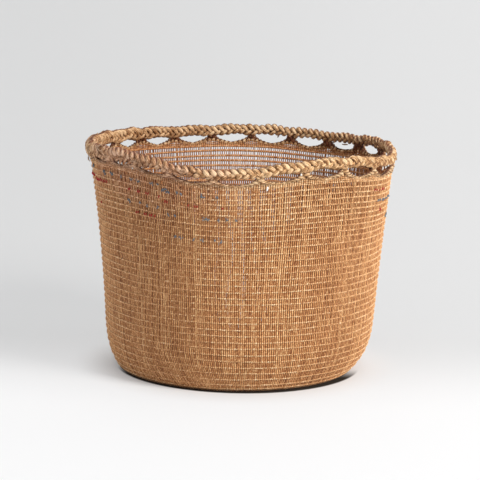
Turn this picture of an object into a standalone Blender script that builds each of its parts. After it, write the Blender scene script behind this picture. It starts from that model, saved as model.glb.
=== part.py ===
"""Open-weave carrying basket: a twined grass wall with gathered posts under a braided rim.

Units are metres with +Z up. The origin is the centre of the flat underside, on the floor, and the
front of the basket faces -Y. Angles go round the basket from the front, towards +X.

Pieces: the woven base, twenty-two bundles of upright stems that each close into one post, thirty-four
rows of twining that go round the outside of the stems, and the braid that crowns the posts.
"""

from math import cos, pi, radians, sin, tau

import bmesh
import bpy
import numpy as np

# Rim braid
RIM_HEIGHT = 0.2160  # floor to the middle of the braid, on average
RIM_RADIUS = 0.1470  # basket axis to the middle of the braid
BRAID_WIDTH = 0.0108  # across the braid, in and out
BRAID_DEPTH = 0.0104  # across the braid, up and down
BRAID_SCALLOP = 0.0012  # how far the braid rises between one post and the next
BRAID_SIDES = 8
BRAID_STEPS_PER_BUNDLE = 3

# Hand-made unevenness of the rim. A wave goes once round it, the next one twice, and so on to five
# times: how far each lifts the rim, and one of the angles where it is highest.
RIM_WAVES = ((0.0017, -92.0), (0.0011, 84.0), (0.0015, 47.0), (0.0020, 35.0), (0.0017, 29.0))
WAVE_FADE = 4  # the waves die away down the wall with this power of the height
BORDER_TILT, BORDER_TILT_AT = 0.0025, -66.0  # the border comes closest to the braid on this side

# Wall: a slow flare above a soft corner, from the floor to the middle of the braid
FOOT_RADIUS = 0.1312  # outside of the wall, run straight down to the floor
FLARE_POWER = 1.85
CORNER_HEIGHT = 0.060
CORNER_INSET = 0.0164  # how far the corner draws the wall in at the floor
CORNER_POWER = 3.4
CORNER_SLACK = 0.22  # share of the inset by which the corner is rounder on the right than in front
SIDE_SWELL = 0.0026  # how far the right side of the wall swells out at mid height

# Upright stems, gathered in bundles
BUNDLES = 22
FIRST_POST_AT = -56.0
POST_DRIFT = 3.0  # the posts crowd towards the left by up to this many degrees
STEMS_PER_BUNDLE = 4
STEM_WIDTH = 0.0048
STEM_THICKNESS = 0.0022
STEM_BENDS = (0.0150, 0.0450)  # heights where a stem's straight lengths meet

# Closed border at the top of each bundle, and the post that the stems draw together into
WINDOW_HEIGHT = 0.0064  # from the braid down to the dip between two bundles
MOUND_RISE = 0.0038  # from that dip up to the foot of the post
BORDER_HEIGHT = 0.0055  # closed strip under the dip
POST_WIDTH = 0.0072
BUNDLE_GAP = 0.0006  # between the borders of two neighbours

# Twined rows round the outside of the stems
ROWS = 34
ROW_WIDTH = 0.0022
ROW_DEPTH = 0.0018
LOWEST_ROW = 0.0085
TOP_ROW_BELOW_DIP = 0.0037
CLOSE_ROWS = 10  # steps between the rows next to the border, which stand closer
CLOSE_ROW_STEP = 0.0052

# Woven base
BASE_THICKNESS = 0.0024
BASE_EDGE_HEIGHT = 0.0050  # the upturned edge that the stems stand on
BASE_EDGE_WIDTH = 0.0060
BASE_EDGE_RISE = 0.0014  # the rounded edge stands this far clear of the floor
BASE_UNDERCUT = 0.0060  # and this far out past the flat underside
BASE_ROWS = 5
BASE_ROW_HEIGHT = 0.0010
BASE_EYE_RADIUS = 0.0120  # plain start of the weave, inside the first row

SEAT = 0.0003  # clearance between pieces that touch

# Colours, linear
DULL_STRAW = (0.34, 0.19, 0.075, 1.0)
GOLDEN_STRAW = (0.56, 0.32, 0.125, 1.0)
PALE_STRAW = (0.64, 0.42, 0.20, 1.0)
STRAW_ROUGHNESS = 0.62

# Values worked out from the sizes above
RIM_WALL_RADIUS = RIM_RADIUS + STEM_THICKNESS / 2 + SEAT + ROW_DEPTH  # outside, over the rows
BUNDLE_ANGLE = tau / BUNDLES
STEM_ANGLE = BUNDLE_ANGLE / STEMS_PER_BUNDLE
BRAID_UNDERSIDE = RIM_HEIGHT - BRAID_DEPTH / 2
DIP_HEIGHT = BRAID_UNDERSIDE - WINDOW_HEIGHT
BORDER_FOOT = DIP_HEIGHT - BORDER_HEIGHT
POST_LEAN = FLARE_POWER * (RIM_WALL_RADIUS - FOOT_RADIUS) / RIM_HEIGHT  # slope of the wall at the rim
POST_HEAD = BRAID_UNDERSIDE - SEAT - STEM_THICKNESS * POST_LEAN
STEM_FOOT = BASE_EDGE_HEIGHT + SEAT
ROW_STEPS = 2 * BUNDLES


def corner_inset(height):
    """How far the corner draws the wall in at a height."""
    return CORNER_INSET * max(0.0, 1 - height / CORNER_HEIGHT) ** CORNER_POWER


def wall_radius(height):
    """Radius of the outside of the wall at a height."""
    flare = (RIM_WALL_RADIUS - FOOT_RADIUS) * (height / RIM_HEIGHT) ** FLARE_POWER
    return FOOT_RADIUS + flare - corner_inset(height)


def stem_levels():
    """Heights of the bends of a stem, from its foot to the foot of the border."""
    bends = [bend for bend in STEM_BENDS if STEM_FOOT < bend < BORDER_FOOT]
    return [STEM_FOOT, *bends, BORDER_FOOT]


def stem_face(height):
    """Radius of the outer face of the stems, which run straight from one bend to the next."""
    levels = [*stem_levels(), BRAID_UNDERSIDE]
    faces = [wall_radius(level) - ROW_DEPTH - SEAT for level in levels]
    return float(np.interp(height, levels, faces))


def rim_wave(angle):
    """Height of the uneven rim over its average, at an angle round the basket."""
    waves = enumerate(RIM_WAVES, 1)
    return sum(lift * cos(times * (angle - radians(at))) for times, (lift, at) in waves)


def border_wave(angle, height):
    """Extra lift of the tilted border: full at the dips, none at the floor or at the post heads."""
    if height < DIP_HEIGHT:
        share = (height / DIP_HEIGHT) ** WAVE_FADE
    else:
        share = max(0.0, (POST_HEAD - height) / (POST_HEAD - DIP_HEIGHT))
    return BORDER_TILT * cos(angle - radians(BORDER_TILT_AT)) * share


def swell(angle, height):
    """How far the wall swells out: most on the right at mid height, nothing on the left."""
    share = min(height / DIP_HEIGHT, 1.0)
    return SIDE_SWELL * 4 * share * (1 - share) * (0.5 + 0.5 * sin(angle)) ** 2


def placed(even_angle, radius, height):
    """A point of the basket, from its angle in even spacing, its radius and its height.

    The spacing drifts round the basket, the wall is rounder on the right, and the height takes its
    share of the waves of the rim and the border.
    """
    angle = even_angle - radians(POST_DRIFT) * cos(even_angle)
    slack = CORNER_SLACK * corner_inset(height) * sin(angle)
    reach = radius * (1 + (swell(angle, height) - slack) / FOOT_RADIUS)
    lift = rim_wave(angle) * (height / RIM_HEIGHT) ** WAVE_FADE + border_wave(angle, height)
    return reach * sin(angle), -reach * cos(angle), height + lift


def post_angle(index):
    """Even angle of the middle of one bundle, where its post stands."""
    return radians(FIRST_POST_AT) + index * BUNDLE_ANGLE


def straw(name, colour):
    """Dry grass of one colour."""
    material = bpy.data.materials.new(name + "_straw")
    material.use_nodes = True
    shader = material.node_tree.nodes["Principled BSDF"]
    shader.inputs["Base Color"].default_value = colour
    shader.inputs["Roughness"].default_value = STRAW_ROUGHNESS
    shader.inputs["Metallic"].default_value = 0.0
    material.diffuse_color = colour
    return material


def side_colour(angle):
    """The straw has aged duller on the left of the basket and stayed golden on the right."""
    share = 0.5 + 0.5 * sin(angle)
    return tuple(d + (g - d) * share for d, g in zip(DULL_STRAW, GOLDEN_STRAW))


def finished(name, mesh_data, colour):
    """One named piece from a filled bmesh, with its own material."""
    mesh = bpy.data.meshes.new(name)
    mesh_data.to_mesh(mesh)
    mesh_data.free()
    mesh.materials.append(straw(name, colour))
    piece = bpy.data.objects.new(name, mesh)
    bpy.context.scene.collection.objects.link(piece)
    return piece


def ring(profile, steps, scallop=0.0):
    """A closed profile of (radius, height) points carried round the basket in even steps.

    The scallop is how far it rises between one post and the next.
    """
    ring_mesh = bmesh.new()
    loops = []
    for step in range(steps):
        turn = step * tau / steps
        rise = scallop * (1 - cos(BUNDLES * turn)) / 2
        angle = post_angle(0) + turn
        loops.append([ring_mesh.verts.new(placed(angle, r, z + rise)) for r, z in profile])
    for here, there in zip(loops, loops[1:] + loops[:1]):
        for corner in range(len(profile)):
            after = (corner + 1) % len(profile)
            ring_mesh.faces.new((here[corner], there[corner], there[after], here[after]))
    bmesh.ops.recalc_face_normals(ring_mesh, faces=ring_mesh.faces)
    return ring_mesh


def smoothed(piece):
    """Round pieces are shaded smooth, with their crisp edges kept."""
    piece.data.shade_smooth()
    piece.data.set_sharp_from_angle(angle=radians(50))


def rim_braid():
    """The braid's envelope: a rounded ring with a flat to sit on the posts."""
    corner = pi / BRAID_SIDES
    half_width = BRAID_WIDTH / 2 / cos(corner)
    half_depth = BRAID_DEPTH / 2 / cos(corner)
    turns = [corner + side * 2 * corner for side in range(BRAID_SIDES)]
    profile = [(RIM_RADIUS + half_width * sin(t), RIM_HEIGHT + half_depth * cos(t)) for t in turns]
    steps = BRAID_STEPS_PER_BUNDLE * BUNDLES
    smoothed(finished("rim_braid", ring(profile, steps, BRAID_SCALLOP), PALE_STRAW))


def row_heights():
    """Heights of the twined rows: wide steps up the wall, then close ones under the border."""
    top = DIP_HEIGHT - TOP_ROW_BELOW_DIP
    shoulder = top - CLOSE_ROWS * CLOSE_ROW_STEP
    wide_steps = ROWS - 1 - CLOSE_ROWS
    step = (shoulder - LOWEST_ROW) / wide_steps
    wide = [LOWEST_ROW + row * step for row in range(wide_steps)]
    return wide + [shoulder + row * CLOSE_ROW_STEP for row in range(CLOSE_ROWS + 1)]


def weft_row(index, height):
    """One row of twining: a three-cornered ring that bears on the stems with its flat inner side."""
    flat = 1 / cos(pi / ROW_STEPS)
    low, high = height - ROW_WIDTH / 2, height + ROW_WIDTH / 2
    profile = [
        ((stem_face(low) + SEAT) * flat, low),
        ((stem_face(height) + SEAT + ROW_DEPTH) * flat, height),
        ((stem_face(high) + SEAT) * flat, high),
    ]
    finished(f"weft_row_{index + 1:02d}", ring(profile, ROW_STEPS), PALE_STRAW)


def stem_edges(radius):
    """Angles of the two edges of each stem, from the middle of the bundle, at a radius."""
    half = STEM_WIDTH / 2 / radius
    middles = [(stem - (STEMS_PER_BUNDLE - 1) / 2) * STEM_ANGLE for stem in range(STEMS_PER_BUNDLE)]
    return [middle + side * half for middle in middles for side in (-1, 1)]


def border_top(offset):
    """Height of the border's top edge: a mound that rises from the dips to the foot of the post."""
    return DIP_HEIGHT + MOUND_RISE * (1 - abs(offset) / (BUNDLE_ANGLE / 2))


def warp_bundle(index):
    """One bundle: upright stems, the closed border that joins them, and their post.

    It is drawn as one sheet on the outer face of the stems and given its thickness inwards.
    """
    sheet = bmesh.new()
    middle = post_angle(index)

    def point(offset, height):
        return sheet.verts.new(placed(middle + offset, stem_face(height), height))

    def band(lower, upper):
        for left in range(len(lower) - 1):
            sheet.faces.new((lower[left], lower[left + 1], upper[left + 1], upper[left]))

    levels = stem_levels()
    edges = [[point(offset, level) for offset in stem_edges(stem_face(level))] for level in levels]
    for lower, upper in zip(edges, edges[1:]):
        for stem in range(0, 2 * STEMS_PER_BUNDLE, 2):
            band(lower[stem : stem + 2], upper[stem : stem + 2])

    post_half = POST_WIDTH / 2 / RIM_RADIUS
    side = BUNDLE_ANGLE / 2 - BUNDLE_GAP / 2 / RIM_RADIUS
    top_offsets = [offset for offset in stem_edges(RIM_RADIUS) if abs(offset) > STEM_ANGLE / 2]
    left = [-side] + [offset for offset in top_offsets if offset < 0]
    right = [offset for offset in top_offsets if offset > 0] + [side]
    offsets = [*left, -post_half, post_half, *right]
    foot = [point(-side, BORDER_FOOT), *edges[-1], point(side, BORDER_FOOT)]
    mound = [point(offset, border_top(offset)) for offset in offsets]
    band(foot, mound)
    post_foot = mound[len(left) : len(left) + 2]
    post_head = [point(offset, POST_HEAD) for offset in (-post_half, post_half)]
    band(post_foot, post_head)

    bundle = finished(f"warp_bundle_{index + 1:02d}", sheet, side_colour(middle))
    thickness = bundle.modifiers.new("stem thickness", "SOLIDIFY")
    thickness.thickness = STEM_THICKNESS
    thickness.offset = -1.0
    thickness.use_even_offset = True


def base():
    """The woven base: a flat underside, raised rows inside, and an edge that the stems stand on."""
    round_out = wall_radius(BASE_EDGE_RISE)
    edge_out = wall_radius(BASE_EDGE_HEIGHT) - SEAT
    edge_in = edge_out - BASE_EDGE_WIDTH
    floor_out = edge_in - (BASE_EDGE_HEIGHT - BASE_THICKNESS)
    outline = [(round_out - BASE_UNDERCUT, 0.0), (round_out, BASE_EDGE_RISE)]
    outline += [(edge_out, BASE_EDGE_HEIGHT), (edge_in, BASE_EDGE_HEIGHT), (floor_out, BASE_THICKNESS)]
    pitch = (floor_out - BASE_EYE_RADIUS) / BASE_ROWS
    for row in range(BASE_ROWS):
        outline.append((floor_out - (row + 0.5) * pitch, BASE_THICKNESS + BASE_ROW_HEIGHT))
        outline.append((floor_out - (row + 1) * pitch, BASE_THICKNESS))

    disc = bmesh.new()
    turns = [post_angle(0) + step * tau / ROW_STEPS for step in range(ROW_STEPS)]
    loops = []
    for radius, height in outline:
        loops.append([disc.verts.new(placed(turn, radius, height)) for turn in turns])
    for outer, inner in zip(loops, loops[1:]):
        for step in range(ROW_STEPS):
            after = (step + 1) % ROW_STEPS
            disc.faces.new((outer[step], outer[after], inner[after], inner[step]))
    disc.faces.new(loops[0])
    disc.faces.new(loops[-1])
    bmesh.ops.recalc_face_normals(disc, faces=disc.faces)
    smoothed(finished("base", disc, DULL_STRAW))


def clear_scene():
    """Removes what the scene starts with."""
    for old in list(bpy.data.objects):
        bpy.data.objects.remove(old)


def build_basket():
    """The pieces in the order that a weaver makes them."""
    clear_scene()
    base()
    for index in range(BUNDLES):
        warp_bundle(index)
    for index, height in enumerate(row_heights()):
        weft_row(index, height)
    rim_braid()


build_basket()
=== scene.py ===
"""Open-weave carrying basket, dressed for the render.

The basket is a twined one: upright grass stems, rows of two-strand twining that hold them apart,
a closed border whose stems gather into posts, and a three-strand braid that crowns the posts.
Every strand starts as one straight tube that is cut into lengths, repeated and welded, and is then
laid along its own course on the basket, because no modifier can carry a twining round this wall.

Units are metres with +Z up. The origin is the centre of the underside and the front faces -Y.
Angles go round the basket from the front, towards +X. An even angle is one before the hand-made
drift that crowds the posts towards the left. A field whose name ends in "_at" is in degrees, and so
is the width that goes with it.
"""

import logging
from collections.abc import Callable
from dataclasses import dataclass, field
from enum import Enum
from math import cos, pi, radians, sin, tau

import bpy
import numpy as np
from mathutils import Matrix, Vector


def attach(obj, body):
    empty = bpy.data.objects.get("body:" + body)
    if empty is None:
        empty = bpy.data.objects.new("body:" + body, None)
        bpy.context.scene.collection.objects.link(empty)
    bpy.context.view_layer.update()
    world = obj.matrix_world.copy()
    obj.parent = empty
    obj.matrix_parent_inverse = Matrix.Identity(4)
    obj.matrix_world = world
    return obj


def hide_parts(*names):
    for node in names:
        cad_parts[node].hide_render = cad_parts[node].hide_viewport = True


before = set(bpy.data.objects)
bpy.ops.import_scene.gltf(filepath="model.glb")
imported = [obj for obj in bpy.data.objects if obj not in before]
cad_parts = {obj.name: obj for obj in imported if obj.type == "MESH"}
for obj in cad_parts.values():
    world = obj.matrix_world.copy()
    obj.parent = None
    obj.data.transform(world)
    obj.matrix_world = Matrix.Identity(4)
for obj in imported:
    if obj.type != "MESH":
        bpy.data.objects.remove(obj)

Array = np.ndarray
Colour = tuple[float, float, float]
Values = tuple[float, ...]
Line = tuple[Array, Array]
Piece = bpy.types.Object
Material = bpy.types.Material
Node = bpy.types.Node
Socket = bpy.types.NodeSocket
Tree = bpy.types.NodeTree

BODY = "root"
LOG = logging.getLogger("basket")

# Copies of a tube stand this far apart, in tube radii. Outward directions are measured over the probe.
APART = 10.0
PROBE = 0.001
# Each strand reads the grain this much further across than the one before it.
GRAIN_SHIFT = 3.7


class Slot(Enum):
    """Material slots of the record that a piece takes its finish from."""

    BASE = "base_straw"
    STEM = "stem_straw"
    TWINING = "twining_straw"
    BRAID = "braid_straw"
    RED_WOOL = "red_wool"
    BLUE_WOOL = "blue_wool"


# Form of the basket


def bell(angle: Array, at: float, width: float) -> Array:
    """A swell from 0 to 1 round an angle in radians, with its place and width in degrees."""
    return np.exp(-(((np.mod(angle - radians(at) + pi, tau) - pi) / radians(width)) ** 2))


def ripple(along: Array, phase: Array | float, size: float, rate: float) -> Array:
    """A wave of a size, with a rate in radians for each unit along it."""
    return size * np.sin(rate * along + phase)


@dataclass(frozen=True)
class BasketForm:
    """The shape that the weave follows, with the same sizes as the solid model."""

    rim_height: float = 0.2160
    rim_radius: float = 0.1470
    rim_wall_radius: float = 0.1502
    braid_depth: float = 0.0104
    braid_scallop: float = 0.0012
    rim_waves: tuple[Values, ...] = (
        (0.0017, -92.0), (0.0011, 84.0), (0.0015, 47.0), (0.0020, 35.0), (0.0017, 29.0)
    )
    wave_fade: float = 4.0
    border_tilt: float = 0.0025
    border_tilt_at: float = -66.0
    border_sag: float = 0.0038
    border_sag_at: float = 233.0
    border_sag_width: float = 28.64789
    crowded_at: float = 126.0
    crowded_width: float = 24.0
    crowded_fill: float = 0.52
    foot_radius: float = 0.1312
    flare_power: float = 1.85
    corner_height: float = 0.060
    corner_inset: float = 0.0164
    corner_power: float = 3.4
    corner_slack: float = 0.22
    side_swell: float = 0.0026
    bundles: int = 22
    first_post_at: float = -56.0
    post_drift: float = 3.0
    window_height: float = 0.0064
    mound_rise: float = 0.0038
    core_depth: float = 0.0018
    rows: int = 34
    lowest_row: float = 0.0085
    top_row_below_dip: float = 0.0037
    close_rows: int = 10
    close_row_step: float = 0.0052
    stems_per_bundle: int = 19
    drift_waves: tuple[Values, ...] = (
        (0.00040, 5, 31, 0.6), (0.00025, 9, -47, 0.0), (0.00008, 23, 66, 2.0), (0.00008, 31, -103, 0.0)
    )
    foot_lean: float = 0.0120
    foot_lean_height: float = 0.045
    foot_lean_power: float = 1.6
    foot_lean_at: float = -28.0
    foot_lean_width: float = 26.0

    @property
    def bundle_angle(self) -> float:
        """Even angle from one post to the next."""
        return tau / self.bundles

    @property
    def stems(self) -> int:
        """Number of upright stems all round."""
        return self.bundles * self.stems_per_bundle

    @property
    def braid_underside(self) -> float:
        """Height of the lowest line of the braid."""
        return self.rim_height - self.braid_depth / 2

    @property
    def dip(self) -> float:
        """Height of the border's edge midway between two posts."""
        return self.braid_underside - self.window_height

    @property
    def top_row(self) -> float:
        """Height of the topmost twined row, under the border."""
        return self.dip - self.top_row_below_dip

    def post_angle(self, index: int) -> float:
        """Even angle of the middle of one bundle."""
        return radians(self.first_post_at) + index * self.bundle_angle

    def stem_at(self, index: Array) -> Array:
        """Even angle of a stem, counted from the left edge of the first bundle."""
        return self.post_angle(0) - self.bundle_angle / 2 + (index + 0.5) * tau / self.stems

    def crowded(self, even: Array) -> Array:
        """Share by which the border closes up at the back right, where the windows are narrow."""
        return bell(even, self.crowded_at, self.crowded_width)

    def mound(self, even: Array) -> Array:
        """Height of the border's edge: it rises from the dips to the foot of each post."""
        turned = (even - self.post_angle(0)) / self.bundle_angle
        share = 1 - 2 * np.abs(turned - np.round(turned))
        return self.dip + self.mound_rise * (share + self.crowded_fill * self.crowded(even) * (1 - share))

    def row_heights(self) -> list[float]:
        """Heights of the twined rows: wide steps up the wall, then close ones under the border."""
        shoulder = self.top_row - self.close_rows * self.close_row_step
        wide = np.linspace(self.lowest_row, shoulder, self.rows - 1 - self.close_rows, endpoint=False)
        return [*wide, *(shoulder + row * self.close_row_step for row in range(self.close_rows + 1))]

    def inset(self, height: Array) -> Array:
        """How far the corner draws the wall in at a height."""
        return self.corner_inset * np.clip(1 - height / self.corner_height, 0.0, 1.0) ** self.corner_power

    def wall_radius(self, height: Array) -> Array:
        """Radius of the outside of the wall at a height."""
        flare = (np.maximum(height, 0.0) / self.rim_height) ** self.flare_power
        return self.foot_radius + (self.rim_wall_radius - self.foot_radius) * flare - self.inset(height)

    def rim_wave(self, angle: Array) -> Array:
        """Height of the uneven rim over its average at an angle."""
        waves = enumerate(self.rim_waves, 1)
        return sum(size * np.cos(times * (angle - radians(at))) for times, (size, at) in waves)

    def border_wave(self, angle: Array, height: Array) -> Array:
        """Extra lift of the tilted border: full at the dips, none at the floor or under the braid.

        Args:
            angle: angles round the basket.
            height: heights before the lift.

        Returns:
            The lifts.
        """
        below = np.clip(height / self.dip, 0.0, 1.0) ** self.wave_fade
        above = np.clip((self.braid_underside - height) / self.window_height, 0.0, 1.0)
        tilt = self.border_tilt * np.cos(angle - radians(self.border_tilt_at))
        sag = self.border_sag * bell(angle, self.border_sag_at, self.border_sag_width)
        return (tilt - sag) * np.where(height < self.dip, below, above)

    def swell(self, angle: Array, height: Array) -> Array:
        """How far the wall swells out: most on the right at mid height, nothing on the left."""
        share = np.clip(height / self.dip, 0.0, 1.0)
        return self.side_swell * 4 * share * (1 - share) * (0.5 + 0.5 * np.sin(angle)) ** 2

    def drift(self, even: Array, height: Array) -> Array:
        """Sideways wander of the weave in metres: slow and quick waves, and a lean in the lower left."""
        waves = self.drift_waves
        wander = sum(size * np.sin(turns * even + up * height + phase) for size, turns, up, phase in waves)
        low = np.clip(1 - height / self.foot_lean_height, 0.0, 1.0) ** self.foot_lean_power
        return wander + self.foot_lean * low * bell(even, self.foot_lean_at, self.foot_lean_width)

    def place(self, even: Array, radius: Array, height: Array) -> Array:
        """Points of the basket from their even angle, radius and height.

        Args:
            even: even angles in radians.
            radius: distances from the basket's axis.
            height: heights before the rim's waves.

        Returns:
            World points, one row each.
        """
        angle = np.mod(even - radians(self.post_drift) * np.cos(even), tau)
        slack = self.corner_slack * self.inset(height) * np.sin(angle)
        reach = radius * (1 + (self.swell(angle, height) - slack) / self.foot_radius)
        share = (np.maximum(height, 0.0) / self.rim_height) ** self.wave_fade
        lifted = height + self.rim_wave(angle) * share + self.border_wave(angle, height)
        return np.stack([reach * np.sin(angle), -reach * np.cos(angle), lifted], axis=-1)

    def on_wall(self, even: Array, out: Array, height: Array) -> Array:
        """Points on the wall.

        Args:
            even: even angles in radians.
            out: distances outwards from the stems' middle surface, at a right angle to the wall.
            height: heights up the wall.

        Returns:
            World points, one row each.
        """
        step = 0.0004
        tilt = np.arctan((self.wall_radius(height + step) - self.wall_radius(height)) / step)
        radius = self.wall_radius(height) - self.core_depth + out * np.cos(tilt)
        return self.place(even + self.drift(even, height) / radius, radius, height - out * np.sin(tilt))

    def line(self, surface: Callable[..., Array], even: Array, out: Array, height: Array) -> Line:
        """A strand's middle line, and the way out of the basket along it.

        Args:
            surface: place or on_wall, which the other values are for.
            even: even angles in radians.
            out: radii for place, distances from the stems' middle for on_wall.
            height: heights before the rim's waves.

        Returns:
            World points and directions, one row each.
        """
        centre = surface(even, out, height)
        return centre, surface(even, out + PROBE, height) - centre


# Tools of the workshop


def pick(*pieces: Piece) -> None:
    """Selects these pieces alone, so that an operator acts on no other, and makes the first active.

    Args:
        pieces: the pieces, or none to leave nothing selected.
    """
    if bpy.context.mode != "OBJECT":
        bpy.ops.object.mode_set(mode="OBJECT")
    bpy.ops.object.select_all(action="DESELECT")
    for piece in pieces:
        piece.select_set(True)
    bpy.context.view_layer.objects.active = pieces[0] if pieces else None


def named(name: str) -> Piece:
    """Names what an operator has just made, and moves its place into its mesh.

    Args:
        name: name of the piece.

    Returns:
        The piece.
    """
    piece = bpy.context.view_layer.objects.active
    piece.name = piece.data.name = name
    bpy.ops.object.transform_apply(location=True, rotation=True, scale=True)
    return piece


def select_edges(piece: Piece, wanted: Callable[[Vector, Vector], bool]) -> None:
    """Selects the edges of a piece by the places of their ends.

    Args:
        piece: the piece.
        wanted: tells from the places of its two ends whether an edge is selected.
    """
    mesh = piece.data
    bpy.context.tool_settings.mesh_select_mode = (False, True, False)
    for group in (mesh.vertices, mesh.edges, mesh.polygons):
        group.foreach_set("select", np.zeros(len(group), bool))
    for edge in mesh.edges:
        edge.select = wanted(*(mesh.vertices[corner].co for corner in edge.vertices))


def edit(operator: Callable[..., object], whole: Piece | None = None, **settings: object) -> None:
    """Runs an operator of edit mode.

    Args:
        operator: the operator.
        whole: a piece to select all of, or nothing to keep the selection.
        settings: settings of the operator.
    """
    if whole:
        pick(whole)
    bpy.ops.object.mode_set(mode="EDIT")
    if whole:
        bpy.ops.mesh.select_all(action="SELECT")
    operator(**settings)
    bpy.ops.object.mode_set(mode="OBJECT")


def weld_ends(piece: Piece) -> None:
    """Welds the two ends of a strand that goes right round the basket."""
    edit(bpy.ops.mesh.remove_doubles, piece, threshold=0.000004)


def vertex_points(piece: Piece) -> Array:
    """All vertex places of a piece, one row each."""
    flat = np.empty(len(piece.data.vertices) * 3, np.float64)
    piece.data.vertices.foreach_get("co", flat)
    return flat.reshape(-1, 3)


def join(pieces: list[Piece], name: str) -> Piece:
    """Joins pieces into one under a name."""
    pick(*pieces)
    bpy.ops.object.join()
    return named(name)


def unit(rows: Array) -> Array:
    """Each row divided by its length."""
    return rows / np.maximum(np.linalg.norm(rows, axis=-1, keepdims=True), 1e-12)


def run_of(line: Array) -> Array:
    """Distance along a line of points, at each point."""
    return np.concatenate([[0.0], np.cumsum(np.linalg.norm(np.diff(line, axis=0), axis=1))])


def smooth_path(knots: Array, samples: Array) -> Array:
    """A smooth line through knots.

    Args:
        knots: points to pass through, one row each.
        samples: positions along the line, from 0 to 1.

    Returns:
        Points of the line, one row for each sample.
    """
    ends = np.concatenate([2 * knots[:1] - knots[1:2], knots, 2 * knots[-1:] - knots[-2:-1]])
    at = np.clip(samples, 0.0, 1.0) * (len(knots) - 1)
    span = np.minimum(at.astype(int), len(knots) - 2)
    t = (at - span)[:, None]
    a, b, c, d = (ends[span + shift] for shift in range(4))
    return 0.5 * (2 * b + (c - a) * t + (2 * a - 5 * b + 4 * c - d) * t**2 + (3 * b - a - 3 * c + d) * t**3)


def outer_side(around: Array) -> Array:
    """Crown of a plain strand, which is proud on its outer side."""
    return np.sin(around) * 0.5 + 0.5


@dataclass
class Course:
    """The line that a strand follows, with an entry for each cut of its tube or one for all.

    Sizes are in metres. Tone is from 0, dark, to 1, pale. Crown is from 0, in a pit, to 1, proud, and
    may be a function of the angle round the strand; the finish paints shade where it is low, and the
    flank lowers it on the strand's sides to paint shade along them.
    Number shifts the grain, and grain is the place along it in millimetres where it isn't the length.
    """

    line: Line
    half_width: Array | float
    half_depth: Array | float
    tone: Array | float
    number: Array | float
    crown: Array | Callable[[Array], Array] = outer_side
    flank_shade: float = 0.0
    ridge: float = 0.0
    grain: Array | None = None


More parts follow.
